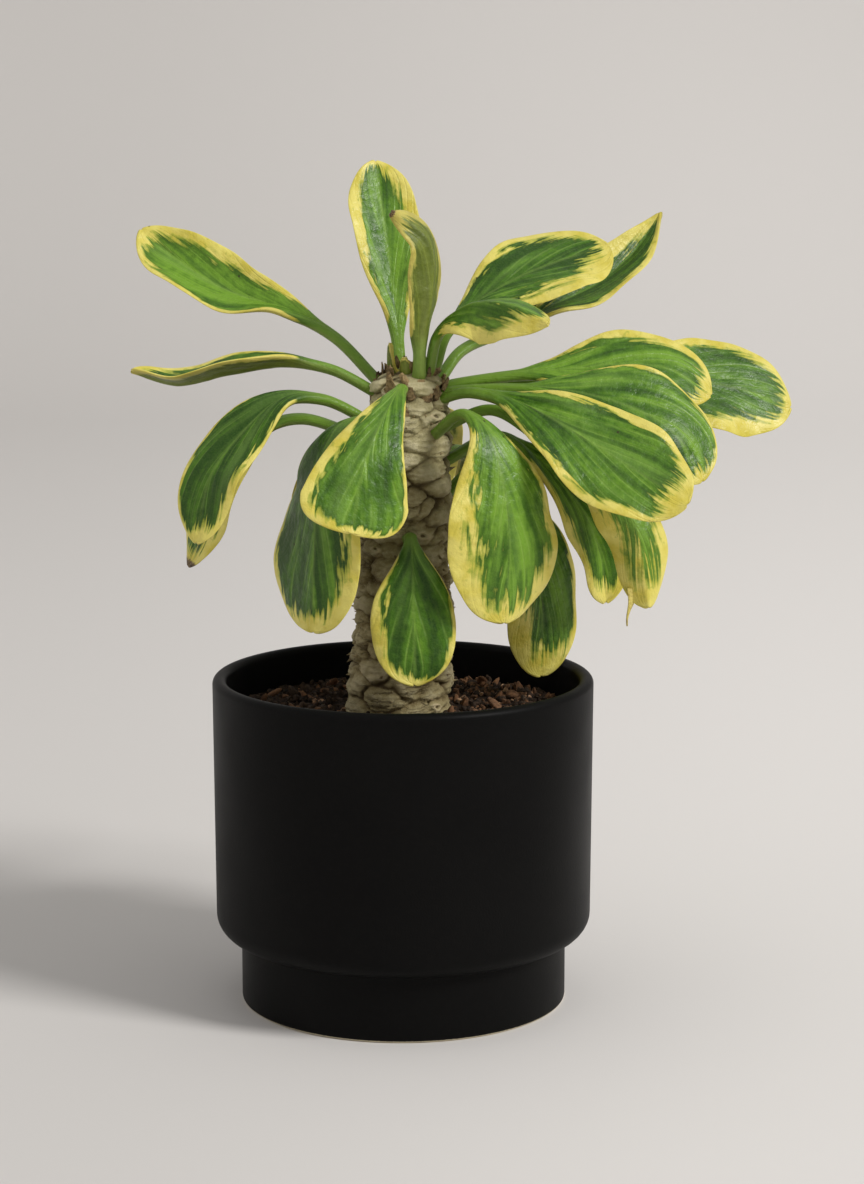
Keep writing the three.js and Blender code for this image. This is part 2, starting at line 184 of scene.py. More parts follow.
class Finish:
    """A material with one shader, and short ways to add nodes to it."""

    def __init__(self, name, roughness, specular=0.5):
        self.material = bpy.data.materials.new(name)
        self.material.use_nodes = True
        self.tree = self.material.node_tree
        self.shader = self.tree.nodes["Principled BSDF"]
        self.shader.inputs["Roughness"].default_value = roughness
        self.shader.inputs["Specular IOR Level"].default_value = specular

    def add(self, kind, inputs=(), **settings):
        node = self.tree.nodes.new("ShaderNode" + kind)
        for setting, value in settings.items():
            setattr(node, setting, value)
        for place, value in dict(inputs).items():
            self.feed(node.inputs[place], value)
        return node

    def feed(self, socket, value):
        if isinstance(value, bpy.types.NodeSocket):
            self.tree.links.new(value, socket)
        else:
            socket.default_value = value

    def sum(self, operation, *values):
        inputs = dict(enumerate(values))
        return self.add("Math", inputs, operation=operation).outputs[0]

    def object_place(self):
        return self.add("TexCoord").outputs["Object"]

    def map_numbers(self, name):
        """The two numbers of a UV map."""
        split = self.add("SeparateXYZ", {0: self.add("UVMap", uv_map=name).outputs[0]})
        return split.outputs[0], split.outputs[1]

    def place(self, x, y, z=0.0):
        return self.add("CombineXYZ", {0: x, 1: y, 2: z}).outputs[0]

    def noise(self, place, scale, detail=2.0, rough=0.5, stirred=0.0):
        inputs = {"Vector": place, "Scale": scale, "Detail": detail, "Roughness": rough}
        inputs["Distortion"] = stirred
        return self.add("TexNoise", inputs).outputs["Fac"]

    def cells(self, place, scale):
        return self.add("TexVoronoi", {"Vector": place, "Scale": scale}).outputs["Distance"]

    def between(self, value, low, high, to_low=0.0, to_high=1.0):
        """A smooth step of the value from low to high."""
        inputs = {"Value": value, "From Min": low, "From Max": high}
        inputs.update({"To Min": to_low, "To Max": to_high})
        return self.add("MapRange", inputs, interpolation_type="SMOOTHSTEP").outputs[0]

    def mix(self, share, first, second):
        node = self.add("Mix", data_type="RGBA")
        self.feed(node.inputs["Factor"], share)
        self.feed(node.inputs[6], first)
        self.feed(node.inputs[7], second)
        return node.outputs[2]

    def ramp(self, value, *stops):
        """A colour that runs through (place, colour) stops."""
        node = self.add("ValToRGB", {0: value})
        band = node.color_ramp.elements
        while len(band) < len(stops):
            band.new(0.5)
        for element, (place, tint) in zip(band, stops):
            element.position = place
            element.color = tint
        return node.outputs[0]

    def paint(self, tint):
        self.feed(self.shader.inputs["Base Color"], tint)

    def gloss(self, roughness):
        self.feed(self.shader.inputs["Roughness"], roughness)

    def bump(self, height, depth):
        """Bump whose full height is the depth given, in metres."""
        inputs = {"Height": height, "Distance": depth, "Strength": 1.0}
        self.feed(self.shader.inputs["Normal"], self.add("Bump", inputs).outputs[0])


# %% [markdown]
# ## The pot
#
# The real pot is slip-cast stoneware: a straight body with a rounded lower edge on a narrower
# foot, in a matt black glaze. It could be a turned profile, but a potter's way is just as short:
# one disc is drawn up from the foot, widened at the ledge, taken up to the rim and back down
# inside. Then the edges that the glaze rounds are bevelled: foot, lower edge and lip.

# %% the pot's shape
POT_WALL = 5.5 * MM
POT_SIDES = 192
BODY_FOOT = POT_RADIUS - 0.7 * MM
FOOT_RADIUS = BODY_FOOT - 9.8 * MM
FOOT_HEIGHT = 26.5 * MM
FOOT_EDGE = 1.4 * MM
LEDGE_FILLET = 1.2 * MM
BODY_CORNER = 8.6 * MM
LIP_ROUND = 2.65 * MM
POT_FLOOR = 9 * MM
BORE = POT_RADIUS - POT_WALL
FOOT_BORE = FOOT_RADIUS - POT_WALL

bpy.ops.object.select_all(action="DESELECT")
bpy.ops.mesh.primitive_circle_add(vertices=POT_SIDES, radius=FOOT_RADIUS, fill_type="NGON")
pot = bpy.context.object
pot.name = "glazed_pot"
bpy.ops.object.mode_set(mode="EDIT")
bpy.ops.mesh.select_all(action="SELECT")
radius, height = FOOT_RADIUS, 0.0
for next_radius, next_height in [
    (FOOT_RADIUS, FOOT_HEIGHT), (BODY_FOOT, FOOT_HEIGHT), (POT_RADIUS, POT_HEIGHT),
    (BORE, POT_HEIGHT), (BORE, FOOT_HEIGHT + POT_WALL), (FOOT_BORE, FOOT_HEIGHT + POT_WALL),
    (FOOT_BORE, POT_FLOOR),
]:
    rise = {"value": (0, 0, next_height - height)}
    bpy.ops.mesh.extrude_region_move(TRANSFORM_OT_translate=rise)
    grow = next_radius / radius
    bpy.ops.transform.resize(value=(grow, grow, 1))
    radius, height = next_radius, next_height


def select_rings(piece, *rings):
    """Selects the round edges that lie at the (radius, height) pairs given."""
    bpy.ops.mesh.select_all(action="DESELECT")
    bpy.ops.mesh.select_mode(type="EDGE")
    mesh = bmesh.from_edit_mesh(piece.data)
    for edge in mesh.edges:
        ends = [(math.hypot(v.co.x, v.co.y), v.co.z) for v in edge.verts]
        edge.select = any(
            all(math.dist(end, ring) < 0.1 * MM for end in ends) for ring in rings
        )
    bmesh.update_edit_mesh(piece.data)


for offset, steps, *rings in [
    (LIP_ROUND, 8, (POT_RADIUS, POT_HEIGHT), (BORE, POT_HEIGHT)),
    (BODY_CORNER, 9, (BODY_FOOT, FOOT_HEIGHT)),
    (LEDGE_FILLET, 3, (FOOT_RADIUS, FOOT_HEIGHT)),
    (FOOT_EDGE, 4, (FOOT_RADIUS, 0)),
]:
    select_rings(pot, *rings)
    bpy.ops.mesh.bevel(offset=offset, segments=steps, affect="EDGES")
bpy.ops.object.mode_set(mode="OBJECT")
close_seams(pot, 0.01 * MM)
smooth(pot, 35)

# %% [markdown]
# The glaze is matt and almost black, with a faint grain and a few broad, duller patches. It is
# wiped off under the foot before firing, so a thin line of bare, cream clay shows at the bottom.

# %% the pot's finish
glaze = Finish("matt_black_glaze", 0.46, 0.07)
place = glaze.object_place()
patches = glaze.noise(place, 18, 3)
grain = glaze.noise(place, 1400, 2)
black = glaze.mix(patches, colour(8, 8, 8), colour(15, 15, 14))
height_up = glaze.add("SeparateXYZ", {0: place}).outputs[2]
height_up = glaze.sum("MULTIPLY_ADD", grain, 0.4 * MM, height_up)
wiped = glaze.between(height_up, 0.8 * MM, 1.2 * MM)
glaze.paint(glaze.mix(wiped, colour(196, 186, 160), black))
glaze.gloss(glaze.between(patches, 0.3, 0.7, 0.42, 0.52))
glaze.bump(glaze.sum("ADD", grain, glaze.sum("MULTIPLY", patches, 3.0)), 0.00006)
pot.data.materials.append(glaze.material)
settle(pot, "pot_glaze", "pot")

# %% [markdown]
# ## The soil
#
# Potting mix is crumbs of peat and composted bark. A grid is pressed into a disc and roughened
# with noise of three sizes, then given a body below. Crumbs and slivers of bark are laid on it:
# each kind is shaped once and copied, turned and scaled, with few faces because there are many.

# %% the soil's bed
SOIL_ROWS = 150
SOIL_DEPTH = 10 * MM
SOIL_RADIUS = BORE - 0.2 * MM


def soil_height(x, y):
    """The bed is a little higher at the trunk than at the wall."""
    out = np.hypot(x, y) / SOIL_RADIUS
    return SOIL_LEVEL - 1.2 * MM * out ** 2


bed, u, v = new_grid("soil_bed", SOIL_ROWS, SOIL_ROWS)
x = u * np.sqrt(1 - v * v / 2) * SOIL_RADIUS
y = v * np.sqrt(1 - u * u / 2) * SOIL_RADIUS
flat = np.stack([x, y, np.zeros(len(x))], 1)
rough = 1.2 * lumpy(flat, 16 * MM, 1) + 1.0 * lumpy(flat, 4.5 * MM, 2)
rough = rough + 0.7 * lumpy(flat, 1.6 * MM, 3)
inner = 1 - ease(0.93, 1, np.hypot(x, y) / SOIL_RADIUS)
move_points(bed, np.stack([x, y, soil_height(x, y) + (rough * inner - 0.6) * MM], 1))
modify(bed, "SOLIDIFY", thickness=SOIL_DEPTH, offset=-1)
smooth(bed)

# %% the soil's finish
mould = Finish("potting_mix", 0.95, 0.2)
place = mould.object_place()
crumbs = mould.noise(place, 420, 4, 0.7)
patches = mould.noise(place, 90, 2)
dark = mould.ramp(
    crumbs, (0.35, colour(20, 15, 11)), (0.52, colour(46, 33, 24)), (0.68, colour(88, 63, 44)))
mould.paint(mould.mix(mould.between(patches, 0.45, 0.7, 0, 0.6), dark, colour(22, 15, 12)))
mould.bump(mould.noise(place, 900, 4, 0.7), 0.0008)
bed.data.materials.append(mould.material)
settle(bed, "soil", "soil")


# %% crumbs and slivers
def bark_finish(name, dark, light, roughness=0.9):
    """Fibrous bark: streaks along the piece's own places, darker in the hollows."""
    finish = Finish(name, roughness, 0.3)
    place = finish.object_place()
    streaks = finish.noise(place, 700, 3, 0.6)
    broad = finish.noise(place, 110, 1)
    tone = finish.sum("MULTIPLY", streaks, 0.6)
    tone = finish.sum("MULTIPLY_ADD", broad, 0.4, tone)
    finish.paint(finish.ramp(tone, (0.35, dark), (0.62, light)))
    finish.bump(streaks, 0.0003)
    return finish.material


def sliver_mesh(seed, length, width, height):
    """One chip: a cube cut finer, its corners worn and its ends drawn to splinters."""
    bpy.ops.object.select_all(action="DESELECT")
    bpy.ops.mesh.primitive_cube_add(size=1)
    chip = bpy.context.object
    bpy.ops.object.mode_set(mode="EDIT")
    bpy.ops.mesh.select_all(action="SELECT")
    bpy.ops.mesh.subdivide(number_cuts=1, smoothness=0.6)
    bpy.ops.object.mode_set(mode="OBJECT")
    places = points_of(chip)
    wear = np.stack([lumpy(places, 0.45, seed + k) for k in range(3)], 1)
    places = places + 0.28 * wear
    taper = 1 - 0.75 * np.abs(places[:, :1])
    places[:, 1:] *= taper
    move_points(chip, places * (length, width, height))
    mesh = chip.data
    bpy.data.objects.remove(chip)
    return mesh


def scatter(name, meshes, material, count, size, seed, from_wall, upright, sector=None):
    """Copies of the meshes laid on the soil round the trunk, joined as one piece.

    A share of them, upright, stand on an edge. A sector is two angles and the share laid there.
    """
    near, far = TRUNK_CLEAR, SOIL_RADIUS - from_wall * MM
    draw = np.random.default_rng(seed)
    copies = []
    for _ in range(count):
        out = math.sqrt(draw.uniform(near ** 2, far ** 2))
        turn = draw.uniform(0, 2 * math.pi)
        if sector and draw.uniform() < sector[2]:
            turn = draw.uniform(sector[0], sector[1])
        centre = Vector((out * math.cos(turn), out * math.sin(turn), 0))
        mesh = meshes[draw.integers(len(meshes))].copy()
        scale = draw.uniform(*size)
        spin = Vector((draw.normal(0, 0.5), draw.normal(0, 0.5), draw.uniform(0, 6.28)))
        if draw.uniform() < upright:
            spin.y = draw.uniform(0.7, 1.5)
        copy = bpy.data.objects.new(name, mesh)
        bpy.context.collection.objects.link(copy)
        copy.rotation_euler = spin
        copy.scale = (scale, scale, scale)
        lift = scale * draw.uniform(0.2, 1.1) * MM
        centre.z = float(soil_height(centre.x, centre.y)) - 0.5 * MM + lift
        copy.location = centre
        copies.append(copy)
    piece = join_as(name, copies)
    piece.data.materials.append(material)
    smooth(piece, 40)
    settle(piece, "bark" if "bark" in name else "soil")


TRUNK_CLEAR = 20 * MM
RIGHT_SIDE = (-1.1, 1.2, 0.45)
slivers = [sliver_mesh(k, 3.3 * MM, 1.9 * MM, 1.4 * MM) for k in range(6)]
crumb_shapes = [sliver_mesh(20 + k, 1.7 * MM, 1.4 * MM, 1.2 * MM) for k in range(5)]
red_bark = bark_finish("red_brown_bark", colour(44, 30, 21), colour(140, 102, 72))
dark_bark = bark_finish("dark_crumb", colour(22, 17, 13), colour(74, 57, 43))
pale_bark = bark_finish("pale_wood", colour(120, 86, 62), colour(204, 166, 130), 0.8)
scatter("soil_crumbs", crumb_shapes, dark_bark, 1300, (0.4, 1.5), 3, 2, 0.2)
scatter("bark_slivers", slivers, red_bark, 330, (0.3, 1.3), 4, 4, 0.5, RIGHT_SIDE)
scatter("dark_bark_slivers", slivers, dark_bark, 200, (0.5, 1.5), 6, 4, 0.3)
scatter("pale_bark_bits", crumb_shapes, pale_bark, 90, (0.4, 1.4), 5, 5, 0.5, RIGHT_SIDE)

# %% the ten large chips
CHIP_WIDE = 4.2 * MM
CHIP_THICK = 2.2 * MM
for index in range(1, 11):
    node = f"bark_chip_{index:02d}"
    low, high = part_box(node)
    length = (high - low).length * 0.85
    mesh = sliver_mesh(40 + index, length, CHIP_WIDE, CHIP_THICK)
    chip = bpy.data.objects.new("large_" + node, mesh)
    bpy.context.collection.objects.link(chip)
    chip.rotation_euler = (0.3 * math.sin(index), -0.35 - 0.3 * math.cos(2 * index), 1.9 * index)
    chip.location = (low + high) / 2
    only(chip)
    bpy.ops.object.transform_apply(location=True, rotation=True, scale=True)
    modify(chip, "SUBSURF", levels=1, render_levels=1)
    chip.data.materials.append(red_bark)
    smooth(chip, 50)
    settle(chip, "bark", node)

# %% [markdown]
# ## The trunk
#
# The trunk is covered in knobs, one under each leaf that has fallen, set in a spiral a golden
# angle apart. Each knob is wider than it is tall, with a crease round it, and some still have a
# round scar in the middle. No modifier gives that, so a fine grid is rolled into a tube and each
# of its points is pushed out by how near it is to the middle of a knob and to the crease.

# %% the trunk's shape
TRUNK_RINGS = 330
TRUNK_SIDES = 250
TRUNK_RADIUS = 18.6 * MM
TRUNK_TAPER = [1.03, 0.98, 0.95, 0.92, 0.88, 0.85, 0.82, 0.76, 0.68]
TRUNK_OFFSET = -1.2 * MM
TRUNK_LEAN = 4.5 * MM
TRUNK_SUNK = 16 * MM
CROWN_DOME = 9 * MM
GOLDEN_TURN = math.radians(137.508)
KNOB_STEP = 0.98 * MM
KNOB_WIDE = 8.6 * MM
KNOB_TALL = 4.6 * MM


def trunk_centre(up):
    """The middle of the trunk at a height above the soil."""
    share = np.clip(up / TRUNK_HEIGHT, 0, 1)
    return TRUNK_LEAN * share + TRUNK_OFFSET


def trunk_radius(up):
    share = np.clip(up / TRUNK_HEIGHT, 0, 1)
    dome = np.clip((up - TRUNK_HEIGHT + CROWN_DOME) / CROWN_DOME, 0, 0.96)
    taper = np.interp(share, np.linspace(0, 1, len(TRUNK_TAPER)), TRUNK_TAPER)
    return TRUNK_RADIUS * taper * np.sqrt(1 - dome ** 2)


# %% the knobs in their spiral
trunk, u, v = new_grid("knobbly_trunk", TRUNK_RINGS, TRUNK_SIDES)
up = (u + 1) / 2 * (TRUNK_HEIGHT + TRUNK_SUNK) - TRUNK_SUNK
angle = v * math.pi
base = trunk_radius(up)
tube = np.stack([base * np.cos(angle), base * np.sin(angle), up], 1)

draw = np.random.default_rng(11)
knob_count = int((TRUNK_HEIGHT + TRUNK_SUNK + 12 * MM) / KNOB_STEP)
knobs = []
for k in range(knob_count):
    knob_up = k * KNOB_STEP - TRUNK_SUNK - 6 * MM + draw.normal(0, 1.5 * MM)
    knob_turn = k * GOLDEN_TURN + draw.normal(0, 0.2)
    knobs.append((knob_up, knob_turn, draw.uniform(0.6, 1.6), draw.uniform(0, 1)))
knobs = np.array(knobs)

# the knobs' pattern is bent and pulled about, so that no two knobs are alike
bent_angle = angle + 0.30 * lumpy(tube, 12 * MM, 15) + 0.10 * lumpy(tube, 4 * MM, 19)
bent_up = up + (2.6 * lumpy(tube, 10 * MM, 16) + 0.9 * lumpy(tube, 3.5 * MM, 17)) * MM

nearest = np.full(len(up), 9.0)
second = np.full(len(up), 9.0)
owner = np.zeros(len(up), int)
stretch = 1 + 0.35 * (1 - ease(0, 30 * MM, up))
for k, (knob_up, knob_turn, big, _) in enumerate(knobs):
    turn = (bent_angle - knob_turn + math.pi) % (2 * math.pi) - math.pi
    wide = turn * base / (KNOB_WIDE * stretch)
    tall = (bent_up - knob_up) / (KNOB_TALL * stretch)
    away = np.hypot(wide, tall) / big ** 0.5
    closer = away < nearest
    second = np.where(closer, nearest, np.minimum(second, away))
    owner = np.where(closer, k, owner)
    nearest = np.where(closer, away, nearest)

# %% the bark pushed out round the knobs
height_in = (bent_up - knobs[owner, 0]) / KNOB_TALL
depth = np.clip(0.55 + 0.9 * lumpy(tube, 13 * MM, 18), 0.1, 1)
crease = np.exp(-((second - nearest) / 0.20) ** 2) * depth
knob = (1 - np.clip(nearest, 0, 1.3) ** 2) * knobs[owner, 2]
scarred = knobs[owner, 3] > 0.82
scar = np.exp(-((nearest - 0.24) / 0.08) ** 2) * scarred
pit = np.exp(-(nearest / 0.17) ** 2) * scarred
folds = 1 - 2.6 * np.abs(lumpy(tube * (0.8, 0.8, 2.4), 4.6 * MM, 5))
wrinkle = 1 - 2.6 * np.abs(lumpy(tube * (0.8, 0.8, 2.0), 1.9 * MM, 8))
grain = lumpy(tube * (1, 1, 1.6), 0.9 * MM, 6)
swell = lumpy(tube, 24 * MM, 7)
push = 1.5 * knob - 0.9 * height_in * np.clip(1.2 - nearest, 0, 1) - 1.3 * crease
push = push + 0.6 * scar - 0.9 * pit
push = push + 0.55 * folds + 0.22 * wrinkle + 0.14 * grain + 0.9 * swell
ends = ease(0, 5 * MM, TRUNK_HEIGHT - up) * ease(0, 3 * MM, up + TRUNK_SUNK)
radius = base + push * MM * ends
radius = np.where(up > TRUNK_HEIGHT - 0.2 * MM, 0, radius)
radius = np.where(up < -TRUNK_SUNK + 0.1 * MM, 0, radius)
x = trunk_centre(up) + radius * np.cos(angle)
places = np.stack([x, radius * np.sin(angle), SOIL_LEVEL + up], 1)
move_points(trunk, places)
write_map(trunk, "BarkMap", np.clip(crease, 0, 1), np.clip(scar - pit, -1, 1))
# how far the bark stands out, for painted light: the finish paints raised bark paler and low bark
# darker
shading_relief = push - 0.9 * swell
write_map(trunk, "BarkReliefShading", np.clip((shading_relief + 1.2) / 3.8, 0, 1), np.clip(up / TRUNK_HEIGHT, 0, 1))
close_seams(trunk, 0.02 * MM)
smooth(trunk)

# %% [markdown]
# The bark is a dull, greenish beige. Painted shade turns it brown in the creases and darker
# where it lies low, and a painted highlight makes it paler where it stands out. The scars have a
# pale rim and a dark middle. The maps written with the shape say where creases and scars are and
# how far the bark stands out, so the colours sit exactly on them, and noise at the scale of dust
# keeps any patch from being plain.

# %% the trunk's finish
rind = Finish("trunk_rind", 0.76, 0.3)
crease_at, scar_at = rind.map_numbers("BarkMap")
painted_relief_light, share_up = rind.map_numbers("BarkReliefShading")
place = rind.object_place()
broad = rind.noise(place, 55, 2)
mottle = rind.noise(place, 320, 4, 0.65)
dust = rind.noise(place, 1900, 2)
split = rind.add("Mapping", {"Vector": place, "Scale": (110, 110, 420)}).outputs[0]
split = rind.sum("ABSOLUTE", rind.sum("SUBTRACT", rind.noise(split, 1.0, 3), 0.5))
# painted light: raised bark is painted pale as a highlight and low bark dark as shade, with mottle
# mixed in
level = rind.sum("MULTIPLY_ADD", painted_relief_light, 0.55, rind.sum("MULTIPLY", mottle, 0.5))
skin = rind.ramp(
    level, (0.28, colour(92, 78, 46)), (0.45, colour(138, 126, 86)), (0.62, colour(170, 160, 118)),
    (0.80, colour(210, 200, 162)))
upper = rind.between(rind.sum("MULTIPLY_ADD", broad, 0.6, share_up), 0.7, 1.25)
brown_skin = rind.mix(0.3, skin, colour(122, 100, 62))
green_skin = rind.mix(0.22, skin, colour(190, 184, 140))
aged = rind.mix(upper, brown_skin, green_skin)
dusty = rind.mix(rind.between(dust, 0.5, 0.75, 0, 0.35), aged, colour(190, 180, 142))
rimmed = rind.mix(rind.between(scar_at, 0.2, 0.9, 0, 0.6), dusty, colour(204, 184, 148))
pitted = rind.mix(rind.between(scar_at, -0.15, -0.7, 0, 0.7), rimmed, colour(70, 50, 32))
cracks = rind.sum("MULTIPLY", rind.between(split, 0.022, 0.006), rind.between(broad, 0.42, 0.6))
cracks = rind.sum("MULTIPLY", cracks, rind.between(share_up, 0.75, 0.45, 0.25, 1.0))
cracked = rind.mix(rind.sum("MULTIPLY", cracks, 0.45), pitted, colour(66, 50, 30))
# painted shade: the creases between the knobs are painted dark brown, in some stretches more than
# others
crease_shade = rind.between(broad, 0.3, 0.6, 0.5, 0.9)
crease_shade = rind.sum("MULTIPLY", rind.between(crease_at, 0.15, 0.9), crease_shade)
rind.paint(rind.mix(crease_shade, cracked, colour(70, 54, 32)))
height = rind.sum("MULTIPLY_ADD", dust, 0.4, mottle)
rind.bump(rind.sum("MULTIPLY_ADD", cracks, -0.8, height), 0.0005)
trunk.data.materials.append(rind.material)
settle(trunk, "trunk", "trunk")

# %% [markdown]
# Small, hard spurs stand on the lower edge of many knobs: what is left of the spines that grew
# beside each leaf. One cone is enough for each, and all of them are joined as one piece.

# %% the spurs
SPUR_LONG = 3.2 * MM
SPUR_WIDE = 0.9 * MM
draw = np.random.default_rng(17)
spurs = []
for knob_up, knob_turn, big, _ in knobs:
    for turn in (knob_turn - 0.16, knob_turn + 0.16):
        spur_up = knob_up - 0.4 * KNOB_TALL
        keep = draw.uniform() < 0.6 and 6 * MM < spur_up < TRUNK_HEIGHT - 12 * MM
        size = draw.uniform(0.5, 1.0)
        tilt = draw.normal(0, 0.3)
        if not keep:
            continue
        turned = (angle - turn + math.pi) % (2 * math.pi) - math.pi
        at = int(np.argmin((turned * TRUNK_RADIUS) ** 2 + (up - spur_up) ** 2))
        foot = Vector(places[at])
        outward = Vector((math.cos(turn), math.sin(turn), tilt))
        bpy.ops.object.select_all(action="DESELECT")
        long, wide = SPUR_LONG * size, SPUR_WIDE * size
        bpy.ops.mesh.primitive_cone_add(vertices=7, radius1=wide, depth=long)
        spur = bpy.context.object
        spur.rotation_euler = outward.to_track_quat("Z", "Y").to_euler()
        spur.location = foot + outward.normalized() * long * 0.25
        spurs.append(spur)
spines = join_as("trunk_spurs", spurs)
horn = bark_finish("spur_horn", colour(104, 88, 58), colour(176, 160, 118), 0.7)
spines.data.materials.append(horn)
smooth(spines, 50)
settle(spines, "trunk")

# %% [markdown]
# ## How a leaf is shaped
#
# A leaf has a thick, round stalk that opens into a long, fleshy blade, widest near its end. Its
# side veins leave the midrib at a narrow angle and fan out to the edge, and the blade is puffed
# a little between them. It could be cut from a sheet and bent by hand, but twenty-four of them
# need one recipe: a grid is laid along a curved midrib, rolled, folded and waved, and a Solidify
# modifier whose thickness is painted point by point makes stalk, keel and thin edge at once.
#
# A leaf's midrib runs through points given as out from the trunk, up and, where it turns
# aside, to the left, in mm.

# %% the measures of a leaf
LEAF_ROWS = 88
LEAF_COLUMNS = 28
STALK_HALF = 2.5 * MM
STALK_THICK = 4.2 * MM
BLADE_THICK = 1.25 * MM
KEEL_THICK = 1.7 * MM
FULL_THICK = 6.4 * MM
TIP_HALF = 0.5 * MM
VEIN_STEP = 12 * MM
VEIN_DEPTH = 0.30 * MM
RIB_DEPTH = 0.75 * MM
RIB_WIDTH = 1.5 * MM
STALK_SINK = 4 * MM


# %% the midrib's curve
def smooth_route(points, steps=24):
    """A centripetal curve through the points, as many places close together."""
    points = [np.array(point, float) for point in points]
    points = [2 * points[0] - points[1], *points, 2 * points[-1] - points[-2]]
    places = []
    for four in zip(points, points[1:], points[2:], points[3:]):
        knots = [0.0]
        for start, end in zip(four, four[1:]):
            knots.append(knots[-1] + np.linalg.norm(end - start) ** 0.5)
        for at in np.linspace(knots[1], knots[2], steps, endpoint=False):
            a, b, c, d = four
            ab = a + (b - a) * (at - knots[0]) / (knots[1] - knots[0])
            bc = b + (c - b) * (at - knots[1]) / (knots[2] - knots[1])
            cd = c + (d - c) * (at - knots[2]) / (knots[3] - knots[2])
            abc = ab + (bc - ab) * (at - knots[0]) / (knots[2] - knots[0])
            bcd = bc + (cd - bc) * (at - knots[1]) / (knots[3] - knots[1])
            places.append(abc + (bcd - abc) * (at - knots[1]) / (knots[2] - knots[1]))
    places.append(points[-2])
    return np.array(places)


def unit(rows):
    return rows / np.linalg.norm(rows, axis=1)[:, None]


def along_curve(curve, travelled, share):
    return np.stack([np.interp(share * travelled[-1], travelled, curve[:, k]) for k in range(3)], 1)


def stops(values, share):
    return np.interp(share, np.linspace(0, 1, len(values)), values)


# %% the outline
def half_width(leaf, share):
    """Half of the leaf's width along it, from the trunk at 0 to the tip at 1."""
    full = leaf["width"] * MM / 2
    opening = np.clip((share - leaf["blade"]) / (leaf["widest"] - leaf["blade"]), 0, 1)
    closing = np.clip((share - leaf["widest"]) / (1 - leaf["widest"]), 0, 1)
    straight = leaf.get("straight", 0)
    swelling = (1 - straight) * np.sin(math.pi / 2 * opening) ** 1.4 + straight * opening
    half = STALK_HALF + (full - STALK_HALF) * swelling
    return np.maximum(TIP_HALF, half * (1 - closing ** 2) ** leaf["tip"])


